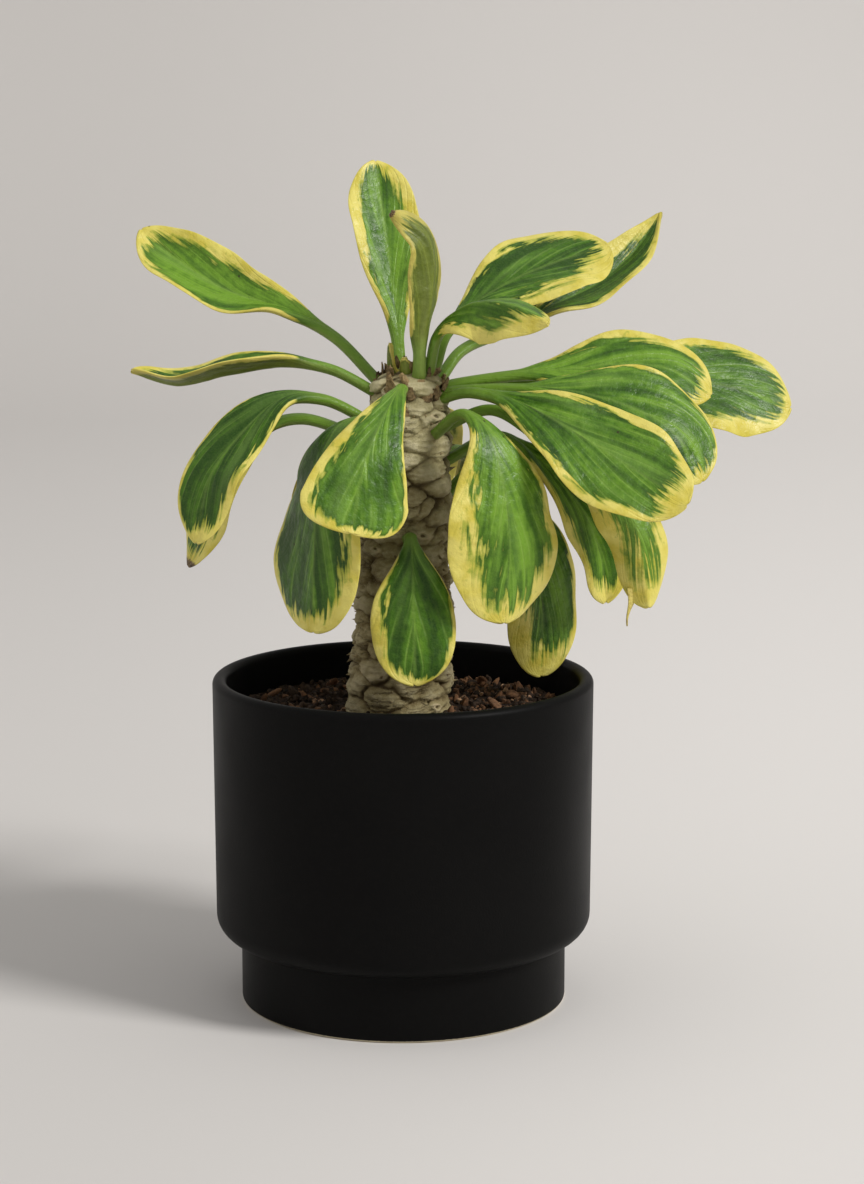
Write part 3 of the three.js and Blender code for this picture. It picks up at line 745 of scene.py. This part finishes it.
# %% one leaf
def make_leaf(name, leaf, seed):
    piece, u, v = new_grid(name, LEAF_ROWS, LEAF_COLUMNS)
    share = 1 - (1 - (u + 1) / 2) ** 1.5
    reach = np.sin(v * 1.35) / math.sin(1.35)
    away = np.abs(reach)
    hand = np.sign(reach)

    # the midrib
    turn = math.radians(leaf["azimuth"])
    out = np.array([math.cos(turn), math.sin(turn), 0])
    left = np.array([-math.sin(turn), math.cos(turn), 0])
    up = TRUNK_HEIGHT - leaf["below"] * MM
    root = np.array([trunk_centre(up), 0, SOIL_LEVEL + up]) + out * trunk_radius(up)
    sunk = STALK_SINK / MM
    route = [(*stop, 0)[:3] for stop in [(-sunk, -sunk / 2), (0, 0), *leaf["route"]]]
    curve = smooth_route([root + (a * out + c * left) * MM + (0, 0, b * MM) for a, b, c in route])
    travelled = np.r_[0, np.cumsum(np.linalg.norm(np.diff(curve, axis=0), axis=1))]
    length = travelled[-1]
    centre = along_curve(curve, travelled, share)
    ahead = unit(along_curve(curve, travelled, np.minimum(share + 0.005, 1))
                 - along_curve(curve, travelled, np.minimum(share + 0.005, 1) - 0.01))
    side = unit(left - (ahead @ left)[:, None] * ahead)
    lift = np.cross(ahead, side)
    roll = np.radians(stops(leaf["roll"], share))[:, None]
    across = side * np.cos(roll) + lift * np.sin(roll)
    over = np.cross(ahead, across)

    # the outline, a little uneven
    travel = share * length
    blade = ease(leaf["blade"] * 0.6, leaf["blade"] + 0.22, share)
    uneven = lumpy(np.stack([travel, hand * 0.04, 0 * travel], 1), 14 * MM, seed)
    lean = 1 + hand * leaf.get("lopsided", 0) * blade
    half = half_width(leaf, share) * (1 + 0.07 * blade * uneven) * lean
    half = half + 1.1 * MM * np.exp(-travel / (5 * MM))
    wide = half * away

    # folded and curled from the midrib
    fold_left = stops(leaf["fold"], share)
    fold_right = stops(leaf.get("fold_right", leaf["fold"]), share)
    fold = np.radians(np.where(hand > 0, fold_left, fold_right)) * (1 - np.exp(-(away / 0.06) ** 2))
    curl = np.radians(stops(leaf["curl"], share))
    bend = fold + curl * away / 2
    edge = fold + curl * away
    place = centre + across * (hand * wide * np.cos(bend))[:, None]
    place = place + over * (wide * np.sin(bend))[:, None]
    normal = over * np.cos(edge)[:, None] - across * (hand * np.sin(edge))[:, None]

    # veins, rib, waves and soft hollows
    fan = 0.95 * (1 - leaf["blade"]) * length
    vein = travel - fan * away ** 0.85
    near_vein = np.abs((vein / VEIN_STEP) % 1 - 0.5) * 2
    rib = np.exp(-(wide / RIB_WIDTH) ** 2) * (1 - 0.7 * share)
    size, wavelength, phase = leaf.get("wave", (1.2, 36, seed))
    wave = np.sin(2 * math.pi * travel / (wavelength * MM) + phase + hand * 1.3)
    soft = lumpy(np.stack([travel, hand * wide, 0 * travel], 1), 17 * MM, seed + 40)
    deep = 0.6 + lumpy(np.stack([vein, hand * 0.05, 0 * vein], 1), 9 * MM, seed + 80)
    rise = -VEIN_DEPTH * deep * near_vein ** 4 * (1 - away ** 5) * (0.4 + 0.6 * (1 - away))
    rise = rise - RIB_DEPTH * rib + size * MM * away ** 2.4 * wave
    rise = rise + 1.1 * MM * soft * (0.2 + away)
    place = place + normal * (rise * blade)[:, None]
    move_points(piece, place)

    # thickness: a round stalk, a keel under the midrib and a thin, round edge
    thin = ease(leaf["blade"] * 0.6, leaf["widest"], share)
    power = 2 + 8 * thin
    middle_thick = STALK_THICK + (BLADE_THICK - STALK_THICK) * thin
    body = middle_thick * np.sqrt(np.clip(1 - away ** power, 0.03, 1))
    thick = np.minimum(body + KEEL_THICK * rib * blade, 2 * half)
    group = piece.vertex_groups.new(name="thickness")
    for index, weight in enumerate(thick / FULL_THICK):
        group.add([index], float(weight), "REPLACE")

    # maps for the finish: where the veins and the coloured edge run
    margin_left, margin_right, margin_tip = leaf.get("margin", (4, 4, 5))
    opened = ease(leaf["blade"], 0.3 + 0.7 * leaf["widest"], share)
    margin = np.where(hand > 0, margin_left, margin_right) * MM * (0.25 + 0.95 * opened)
    on_stalk = 1 - ease(leaf["blade"] * 0.7, leaf["blade"] + 0.12, share)
    from_side = half * (1 - away) / margin + 5 * on_stalk
    from_tip = (length - travel) / (margin_tip * MM)
    inside = (1 / (1 / (from_side + 0.02) ** 3 + 1 / (from_tip + 0.02) ** 3)) ** (1 / 3)
    write_map(piece, "LeafPlan", vein, hand * wide)
    write_map(piece, "LeafEdge", inside / 8, np.full(len(u), seed / 40))
    dry = np.clip(1 - (length - travel) / (leaf["dry"] * MM), 0, 1) if "dry" in leaf else 0 * share
    write_map(piece, "LeafPart", blade, dry)
    write_map(piece, "LeafToneAndShade", np.full(len(u), leaf.get("tone", 0.5)), share)

    piece.data.materials.append(leaf_upper)
    piece.data.materials.append(leaf_under)
    modify(piece, "SOLIDIFY", thickness=FULL_THICK, offset=0, vertex_group="thickness",
           material_offset=1)
    modify(piece, "SUBSURF", levels=1, render_levels=1)
    smooth(piece)
    return piece


# %% [markdown]
# ## How a leaf is coloured
#
# The green core ends in a jagged, feathered border that follows the veins, because the leaf's
# cell layers are mixed there. So the border is a distance from the edge, upset by noise that is
# drawn out along the veins. Inside it lie streaks of darker and greyer green, and thin pale
# veins. The leaf's own maps carry that distance and the run of the veins. The underside has the
# same pattern in duller greens.

# %% the leaves' finish
def leaf_finish(name, greens, yellows, stalk, roughness, specular):
    """The greens run dark, middle, light, greyed and pale; the yellows gold, deep and greenish."""
    finish = Finish(name, roughness, specular)
    vein, across = finish.map_numbers("LeafPlan")
    inside, seed = finish.map_numbers("LeafEdge")
    inside = finish.sum("MULTIPLY", inside, 8.0)
    seed = finish.sum("MULTIPLY", seed, 900.0)
    blade, dry = finish.map_numbers("LeafPart")
    leaf_tone_and_shade, _ = finish.map_numbers("LeafToneAndShade")
    side = finish.sum("MULTIPLY", finish.sum("SIGN", across), 3.7)
    sideways = finish.sum("ABSOLUTE", across)

    def streaks(along_size, across_size, shift, detail=2.0, stirred=0.0):
        """Noise drawn out along the veins; the sizes are of one streak, in metres."""
        x = finish.sum("DIVIDE", vein, across_size)
        y = finish.sum("ADD", finish.sum("DIVIDE", sideways, along_size), side)
        at = finish.place(x, y, finish.sum("ADD", seed, shift))
        return finish.noise(at, 1.0, detail, 0.5, stirred)

    object_place = finish.object_place()
    fingers = streaks(0.0036, 0.0150, 0.0, 1.0, 0.9)
    feathers = streaks(0.0018, 0.0062, 5.0, 2.0, 0.6)
    lobes = finish.noise(object_place, 42.0, 2.0)
    upset = finish.sum("MULTIPLY_ADD", fingers, 2.6, -1.3)
    upset = finish.sum("ADD", upset, finish.sum("MULTIPLY_ADD", feathers, 0.8, -0.4))
    upset = finish.sum("ADD", upset, finish.sum("MULTIPLY_ADD", lobes, 2.2, -1.1))
    mottle = finish.noise(object_place, 340.0, 3.0)
    upset = finish.sum("ADD", upset, finish.sum("MULTIPLY_ADD", mottle, 0.6, -0.3))
    calm = finish.between(inside, 0.2, 1.0, 0.25, 1.0)
    border = finish.sum("MULTIPLY_ADD", upset, calm, inside)

    # the green: streaks along the veins, darker and lighter leaves, partly painted shade, a dark
    # fringe at the border
    tone = streaks(0.0090, 0.0190, 14.0, 2.0)
    blotch = streaks(0.0160, 0.0420, 21.0, 2.0)
    fine = streaks(0.0120, 0.0050, 31.0, 3.0)
    level = finish.sum("MULTIPLY_ADD", fine, 0.10, finish.sum("MULTIPLY", tone, 0.70))
    level = finish.sum("MULTIPLY_ADD", mottle, 0.20, level)
    # each leaf's tone shifts its greens lighter or darker: partly its own colour, partly painted
    # shade
    level = finish.sum("ADD", level, finish.sum("MULTIPLY_ADD", leaf_tone_and_shade, 0.28, -0.14))
    core = finish.ramp(level, (0.34, greens[0]), (0.47, greens[1]), (0.62, greens[2]))
    core = finish.mix(finish.between(blotch, 0.50, 0.70, 0, 0.4), core, greens[3])
    fringe = finish.between(finish.sum("ADD", border, tone), 1.3, 2.6, 0.6, 0.0)
    core = finish.mix(fringe, core, greens[0])
    core = finish.mix(finish.between(blade, 0.75, 0.0, 0, 0.9), core, stalk)

    # the yellow: deeper and paler patches, and a greenish seam along the green
    gold = finish.noise(object_place, 110.0, 3.0)
    gold = finish.ramp(gold, (0.38, yellows[1]), (0.58, yellows[0]))
    flecks = finish.sum("MULTIPLY_ADD", border, 0.16, mottle)
    flecks = finish.between(flecks, 0.68, 0.80, 0, 0.45)
    gold = finish.mix(flecks, gold, yellows[2])
    skin = finish.mix(finish.between(border, 0.55, 0.90, 0, 0.7), gold, yellows[2])
    skin = finish.mix(finish.between(border, 0.85, 1.15), skin, core)

    # the veins, faint and broken
    line = finish.sum("PINGPONG", finish.sum("MULTIPLY_ADD", blotch, 0.006, vein), VEIN_STEP / 2)
    line = finish.between(line, 0.0024, 0.0001)
    thin_line = finish.sum("MULTIPLY", line, finish.between(tone, 0.40, 0.62))
    midrib = finish.between(sideways, 0.0012, 0.0002, 0, 0.8)
    pale = finish.sum("MAXIMUM", thin_line, midrib)
    pale = finish.sum("MULTIPLY", pale, finish.between(border, 0.9, 1.8, 0, 0.24))
    skin = finish.mix(pale, skin, greens[4])

    # dark specks, dust and the dry, brown ends
    speck = finish.between(finish.cells(object_place, 80.0), 0.050, 0.030, 0, 0.85)
    skin = finish.mix(speck, skin, colour(48, 38, 20))
    dust = finish.noise(object_place, 1500.0, 2.0)
    skin = finish.mix(finish.between(dust, 0.3, 0.7, 0.0, 0.06), skin, greens[4])
    dried = finish.sum("ADD", dry, finish.sum("SUBTRACT", feathers, 0.5))
    dried = finish.between(dried, 0.25, 0.5)
    brown = finish.ramp(feathers, (0.4, colour(58, 44, 26)), (0.62, colour(128, 104, 62)))
    skin = finish.mix(dried, skin, brown)
    finish.paint(skin)

    ripples = finish.noise(object_place, 240.0, 3.0)
    finish.gloss(finish.between(ripples, 0.3, 0.7, roughness - 0.06, roughness + 0.08))
    height = finish.sum("MULTIPLY_ADD", thin_line, -0.35, finish.sum("MULTIPLY", dust, 0.35))
    height = finish.sum("MULTIPLY_ADD", ripples, 2.2, height)
    finish.bump(finish.sum("MULTIPLY_ADD", mottle, 0.8, height), 0.00030)
    return finish.material


leaf_upper = leaf_finish(
    "leaf_upper_side",
    (colour(36, 72, 8), colour(68, 111, 18), colour(114, 157, 44), colour(116, 152, 68),
     colour(152, 182, 90)),
    (colour(230, 217, 114), colour(213, 198, 80), colour(142, 160, 48)),
    colour(114, 150, 48), 0.37, 0.30,
)
leaf_under = leaf_finish(
    "leaf_underside",
    (colour(82, 96, 20), colour(104, 118, 32), colour(126, 140, 46), colour(122, 132, 60),
     colour(150, 160, 82)),
    (colour(204, 192, 96), colour(184, 172, 80), colour(138, 148, 62)),
    colour(120, 150, 60), 0.5, 0.4,
)

# %% [markdown]
# ## The leaves
#
# Each leaf has its own route, width and lean, and how broad its yellow edges are to the left and
# right, looking out along it, and at the tip. "below" is how far under the trunk's tip it grows.
# "roll", "fold" and "curl" are degrees at the stalk, the middle and the tip. "tone" is how light a
# leaf's greens are: partly the leaf's own colour, partly painted shade, lower on leaves that lie
# in shade. What many of the leaves share comes first, and a leaf that differs says so.

# %% the leaves, from the top of the trunk round to the back
LEAF = dict(widest=0.7, blade=0.3, tip=0.5, fold=(15, 5, 0), curl=(0, -10, -10))
LEAVES = {
    "leaf_top_back": dict(
        below=7, azimuth=106, route=[(8, 22), (18, 45), (30, 68), (39, 84)],
        width=29, widest=0.72, blade=0.22, roll=(0, -5, 0), fold=(20, 10, 5),
        curl=(0, 10, 10), margin=(3, 4, 2), tone=0.8),
    "leaf_top_front": dict(
        below=3, azimuth=-70, route=[(1, 16), (2, 30, 3), (2, 44, 4), (2, 54, 1), (2, 63, -12)],
        width=26, widest=0.6, blade=0.18, tip=0.8, roll=(0, 40, 35), fold=(20, 15, 15),
        curl=(0, 10, 0), margin=(4.5, 2.2, 6), tone=0.25, dry=2, lopsided=0.2),
    "leaf_left_high": dict(
        below=7, azimuth=157, route=[(19, 17), (40, 27), (64, 33), (91, 47), (104, 57)],
        width=30, widest=0.72, roll=(0, -40, -45), fold=(20, 20, 10),
        curl=(0, 10, 10), margin=(2, 5, 6), tone=0.85),
    "leaf_left_arched": dict(
        below=10, azimuth=183, route=[(17, 9), (36, 12), (57, 8), (76, 4), (94, 9)],
        width=26, tip=0.6, roll=(0, 0, 0), fold=(20, 25, 20),
        curl=(0, 10, 0), margin=(3, 4, 5), wave=(0.5, 40, 1), tone=0.3),
    "leaf_left_droop": dict(
        below=22, azimuth=205, route=[(22, 11), (39, 11), (54, 0), (67, -15), (74, -41)],
        width=26, widest=0.72, roll=(0, -35, -35), fold=(15, 10, 5),
        margin=(2, 1, 7), tone=0.0),
    "leaf_left_behind": dict(
        below=30, azimuth=172, route=[(26, 9), (40, 6), (51, -4), (61, -22), (73, -50)],
        width=28, widest=0.72, blade=0.35, tip=0.55, roll=(0, -40, -45), fold=(15, 10, 5),
        margin=(4, 3, 5), dry=4, tone=0.1),
    "leaf_front_left": dict(
        below=27, azimuth=228, route=[(12, 8), (25, 5), (34, -9), (38, -40), (39, -70)],
        width=50, widest=0.72, blade=0.2, tip=0.4, roll=(0, -15, -15), fold=(15, 2, 0),
        curl=(0, -10, 0), margin=(6, 3, 7), fold_right=(15, -34, -26), tone=0.2, lopsided=-0.22),
    "leaf_front_short": dict(
        below=10, azimuth=253, route=[(14, 4, 5), (30, -4, 4), (46, -20, 1), (56, -45, -1)],
        width=42, widest=0.86, blade=0.26, tip=0.28, roll=(0, -20, -30), fold=(15, 0, 0),
        margin=(1.6, 5, 2.2), straight=1, tone=0.5, wave=(0.6, 36, 2)),
    "leaf_front_low": dict(
        below=65, azimuth=275, route=[(9, 1), (16, -10), (22, -28), (26, -52)],
        width=34, widest=0.68, blade=0.2, roll=(0, 0, 0), fold=(10, 0, 0),
        margin=(1.8, 5, 3), tone=0.2),
    "leaf_front_right": dict(
        below=25, azimuth=-45, route=[(14, 9), (25, 4), (34, -11), (39, -39), (37, -69)],
        width=46, blade=0.22, tip=0.45, roll=(0, 20, 20), fold=(15, 0, 0),
        curl=(0, -15, -15), margin=(4.5, 10, 6), tone=0.7, lopsided=-0.06),
    "leaf_right_front": dict(
        below=12, azimuth=-24, route=[(11, 3), (36, -2), (69, -18), (100, -35)],
        width=42, widest=0.72, blade=0.2, roll=(10, 45, 50),
        curl=(0, 0, -10), margin=(4, 3.5, 9), tone=0.4),
    "leaf_right_middle": dict(
        below=10, azimuth=-10, route=[(25, 2), (49, 1), (71, -4), (89, -14), (100, -32)],
        width=42, widest=0.72, roll=(10, 45, 45),
        curl=(0, -5, -10), margin=(1.6, 3, 5), tone=0.5),
    "leaf_right_back": dict(
        below=8, azimuth=4, route=[(25, 4), (48, 6), (68, 8), (88, 6), (104, -4)],
        width=36, widest=0.74, roll=(10, 45, 45),
        curl=(0, -5, -10), margin=(5, 3, 5), tone=0.7),
    "leaf_right_far": dict(
        below=11, azimuth=14, route=[(26, 4), (50, 5), (84, 5), (124, -2), (143, -9)],
        width=43, widest=0.8, blade=0.45, tip=0.48, roll=(10, 50, 54),
        curl=(0, 0, -10), margin=(4, 5, 6), tone=0.4),
    "leaf_back_right": dict(
        below=3, azimuth=28, route=[(6, 15), (20, 26), (35, 34), (55, 41), (79, 47)],
        width=40, blade=0.25, roll=(0, 35, 30),
        curl=(0, 0, 0), margin=(5.5, 8, 5), tone=0.15),
    "leaf_back_pointed": dict(
        below=8, azimuth=40,
        route=[(12, 12), (36, 19), (60, 27), (84, 35), (104, 46), (121, 63)],
        width=25, widest=0.68, blade=0.35, tip=0.9, roll=(0, 35, 35), fold=(20, 20, 20),
        curl=(0, 5, 5), margin=(7, 2, 3), tone=0.15),
    "leaf_flap": dict(
        below=2, azimuth=-35, route=[(4, 14), (11, 22), (22, 28), (37, 28), (55, 22)],
        width=33, widest=0.62, blade=0.24, tip=0.7, roll=(0, 20, 20), fold=(15, -20, -15),
        margin=(3, 9, 6), fold_right=(0, -48, -45), tone=0.45),
    "leaf_right_hanging": dict(
        below=37, azimuth=10, route=[(21, 9), (41, -6), (54, -21), (61, -38), (64, -58)],
        width=32, tip=0.55, roll=(0, 60, 70), fold=(15, 20, 15),
        curl=(0, 10, 10), margin=(5, 5, 6)),
    "leaf_right_curled": dict(
        below=23, azimuth=-12, route=[(18, 7), (38, -4), (60, -19), (74, -36), (80, -68)],
        width=27, widest=0.75, blade=0.4, tip=0.45, roll=(0, 62, 75), fold=(15, -18, -20),
        curl=(0, -20, -30), margin=(4, 6, 15), tone=1.0),
    "leaf_right_low": dict(
        below=51, azimuth=20, route=[(14, 10), (28, -3), (37, -22), (41, -48), (41, -75)],
        width=34, blade=0.25, tip=0.42, roll=(0, 75, 85), fold=(15, 10, 5),
        margin=(1.6, 7, 10), tone=0.35),
    "leaf_rear_left": dict(
        below=37, azimuth=118, route=[(18, 5), (36, 2), (50, -12), (58, -32), (62, -54)],
        width=34, roll=(0, 5, 5),
        margin=(4, 5, 5)),
    "leaf_rear": dict(
        below=19, azimuth=88, route=[(20, 2), (42, 0), (64, -10), (82, -28), (90, -50)],
        width=38, roll=(0, -5, -5),
        margin=(5, 5, 6)),
    "leaf_rear_low": dict(
        below=53, azimuth=98, route=[(16, 6), (32, 2), (43, -14), (48, -34), (49, -54)],
        width=34, widest=0.68, blade=0.25, roll=(0, 5, 5), fold=(15, 0, 0),
        margin=(4, 4, 5)),
    "leaf_rear_right": dict(
        below=41, azimuth=60, route=[(18, 5), (35, 0), (48, -16), (55, -36), (58, -58)],
        width=34, roll=(0, -5, -5),
        margin=(5, 4, 5)),
}

for seed, (node, leaf) in enumerate(LEAVES.items()):
    piece = make_leaf(node.replace("leaf_", "") + "_leaf", {**LEAF, **leaf}, seed + 1)
    settle(piece, "leaf", node)

# %% [markdown]
# ## The crown
#
# At the trunk's tip a few young leaves stand up between the stalks, among dry, brown scraps of
# older ones. The young leaves use the same recipe as the big ones.

# %% young leaves
BUD = dict(below=1.5, width=5, widest=0.5, blade=0.1, tip=0.8, roll=(0, 0), fold=(15, 15),
           curl=(20, 10), margin=(0.6, 0.6, 1), wave=(0.2, 20, 0))
BUDS = {
    "crown_bud_1": dict(azimuth=200, route=[(1, 5), (1, 11)]),
    "crown_bud_2": dict(azimuth=65, route=[(1, 4), (0, 9)]),
    "crown_bud_3": dict(azimuth=255, route=[(1, 3), (2, 6)]),
}
for seed, (node, bud) in enumerate(BUDS.items()):
    piece = make_leaf(node.replace("crown_bud", "young_leaf"), {**BUD, **bud}, seed + 31)
    settle(piece, "bud", node)

# %% [markdown]
# One leaf on the right has dried at its end to a thin tail. It is a short ribbon, one narrow grid
# that tapers and twists, hung from the leaf's own surface.

# %% the dried tail
TAIL_LONG = 15 * MM
TAIL_HALF = 2.2 * MM
TAIL_RIGHT, TAIL_UP = 88.5 * MM, 166 * MM
parent = points_of(bpy.data.objects["right_curled_leaf"])
at = np.argmin(np.hypot(parent[:, 0] - TAIL_RIGHT, parent[:, 2] - TAIL_UP))
tail, u, v = new_grid("dried_leaf_tail", 16, 5)
share = (u + 1) / 2
half = TAIL_HALF * (1 - 0.8 * ease(0, 1, share))
twist = 0.2 + 1.3 * share
side = half * v
x = side * np.cos(twist) - 1.6 * MM * share + 0.5 * MM * np.sin(6 * share)
y = side * np.sin(twist) - 1.2 * MM
z = 1.5 * MM - TAIL_LONG * share
move_points(tail, parent[at] + np.stack([x, y, z], 1))
modify(tail, "SOLIDIFY", thickness=0.6 * MM, offset=0)
modify(tail, "SUBSURF", levels=1, render_levels=1)
straw = bark_finish("dried_leaf", colour(166, 146, 66), colour(224, 210, 118), 0.6)
tail.data.materials.append(straw)
smooth(tail)
settle(tail, "leaf")

# %% [markdown]
# The dry scraps are the shrivelled bases of old leaves. Each is a small grid bent like a
# fingernail and given a body with a Solidify modifier; they lean out all round the tip.

# %% dry scraps
SCRAP_COUNT = 84
SCRAP_SPREAD = 17 * MM
SCRAP_THICK = 0.35 * MM
SCRAP_SUNK = 1.2 * MM
draw = np.random.default_rng(23)
scraps = []
for k in range(SCRAP_COUNT):
    turn = k * GOLDEN_TURN + draw.normal(0, 0.2)
    down = draw.uniform(0, 1) ** 1.4 * SCRAP_SPREAD
    long, wide = draw.uniform(2.8, 6.4) * MM, draw.uniform(1.0, 2.4) * MM
    bow, lean, twist = draw.uniform(0.2, 0.9), draw.uniform(-0.1, 0.45), draw.normal(0, 0.6)
    scrap, u, v = new_grid("scrap", 6, 4)
    taper = 1 - 0.45 * ((u + 1) / 2) ** 2
    ragged = lumpy(np.stack([u, v, 0 * u], 1), 0.6, k) * 0.35 * MM
    x = wide * v * taper
    z = long * (u + 1) / 2 + ragged
    y = -bow * wide * (v * taper) ** 2 - 0.25 * bow * long * ((u + 1) / 2) ** 2 + ragged
    move_points(scrap, np.stack([x, y, z], 1))
    height = TRUNK_HEIGHT - down
    out = float(trunk_radius(np.array(height))) + draw.uniform(0.0, 1.5) * MM
    x = float(trunk_centre(height)) + out * math.cos(turn)
    scrap.location = (x, out * math.sin(turn), SOIL_LEVEL + height - SCRAP_SUNK)
    scrap.rotation_euler = (-lean, twist, turn - math.pi / 2)
    modify(scrap, "SOLIDIFY", thickness=SCRAP_THICK, offset=0)
    scraps.append(scrap)
husk = join_as("dry_crown_scraps", scraps)
brown_husk = bark_finish("dry_leaf_base", colour(70, 54, 36), colour(168, 144, 102), 0.85)
husk.data.materials.append(brown_husk)
smooth(husk, 40)
settle(husk, "trunk")

# %% [markdown]
# ## Floor, light and camera
#
# The plant stands on a pale, seamless sweep under a big soft light from the right, with a weak
# fill all round. The sweep is one disc whose rim is drawn up into a wall and rounded. Its paper
# carries painted light: it is painted a little paler to the right and at the front, and darker
# towards the back, as the light falls off.

# %% the sweep
SWEEP_RADIUS = 3.2
SWEEP_HEIGHT = 1.7
SWEEP_BEND = 1.2
FAN_FRONT = 1.3
FAN_HALF = 0.16
bpy.ops.object.select_all(action="DESELECT")
bpy.ops.mesh.primitive_circle_add(vertices=96, radius=SWEEP_RADIUS, fill_type="NGON")
sweep = bpy.context.object
sweep.name = "pale_sweep"
bpy.ops.object.mode_set(mode="EDIT")
bpy.ops.mesh.select_all(action="SELECT")
bpy.ops.mesh.select_mode(type="EDGE")
bpy.ops.mesh.region_to_loop()
bpy.ops.mesh.extrude_region_move(TRANSFORM_OT_translate={"value": (0, 0, SWEEP_HEIGHT)})
select_rings(sweep, (SWEEP_RADIUS, 0))
bpy.ops.mesh.bevel(offset=SWEEP_BEND, segments=16, affect="EDGES")
bpy.ops.object.mode_set(mode="OBJECT")
smooth(sweep, 60)
paper = Finish("pale_paper", 0.9, 0.2)
# painted light: the paper's colour is paler to the right and at the front and darker towards the
# back
split = paper.add("SeparateXYZ", {0: paper.object_place()})
fan = paper.sum("DIVIDE", split.outputs[0], paper.sum("ADD", split.outputs[1], FAN_FRONT))
painted_light_to_right = paper.between(fan, -FAN_HALF, FAN_HALF)
painted_falloff_to_back = paper.between(split.outputs[1], -0.2, 2.5)
near = paper.mix(painted_light_to_right, colour(211, 208, 205), colour(233, 230, 227))
far = paper.mix(painted_light_to_right, colour(187, 184, 181), colour(215, 212, 209))
paper.paint(paper.mix(painted_falloff_to_back, near, far))
sweep.data.materials.append(paper.material)
print(sweep.name, len(sweep.data.polygons), "faces")

# %% lights
KEY_AZIMUTH = math.radians(-30)
KEY_HEIGHT = math.radians(38)
KEY_SOFTNESS = math.radians(16)
KEY_POWER = 2.2
FILL_POWER = 0.52
key = bpy.data.lights.new("key_light", "SUN")
key.energy = KEY_POWER
key.angle = KEY_SOFTNESS
key.color = (1, 0.985, 0.965)
key_light = bpy.data.objects.new("key_light", key)
bpy.context.collection.objects.link(key_light)
key_light.rotation_euler = (0, math.pi / 2 - KEY_HEIGHT, KEY_AZIMUTH)

world = bpy.data.worlds.new("studio")
bpy.context.scene.world = world
world.use_nodes = True
fill = world.node_tree.nodes["Background"]
fill.inputs[0].default_value = (1, 0.99, 0.98, 1)
fill.inputs[1].default_value = FILL_POWER
print("key light", KEY_POWER, "and fill", FILL_POWER)

# %% camera
CAMERA_PLACE = (0.0114, -1.1426, 0.3645)
CAMERA_PITCH = math.radians(10)
lens = bpy.data.cameras.new("camera")
lens.lens = 90
lens.sensor_width = 36
camera = bpy.data.objects.new("camera", lens)
bpy.context.collection.objects.link(camera)
camera.location = CAMERA_PLACE
camera.rotation_euler = (math.pi / 2 - CAMERA_PITCH, 0, 0)
bpy.context.scene.camera = camera
bpy.context.scene.view_settings.view_transform = "Standard"
print("camera at", CAMERA_PLACE)
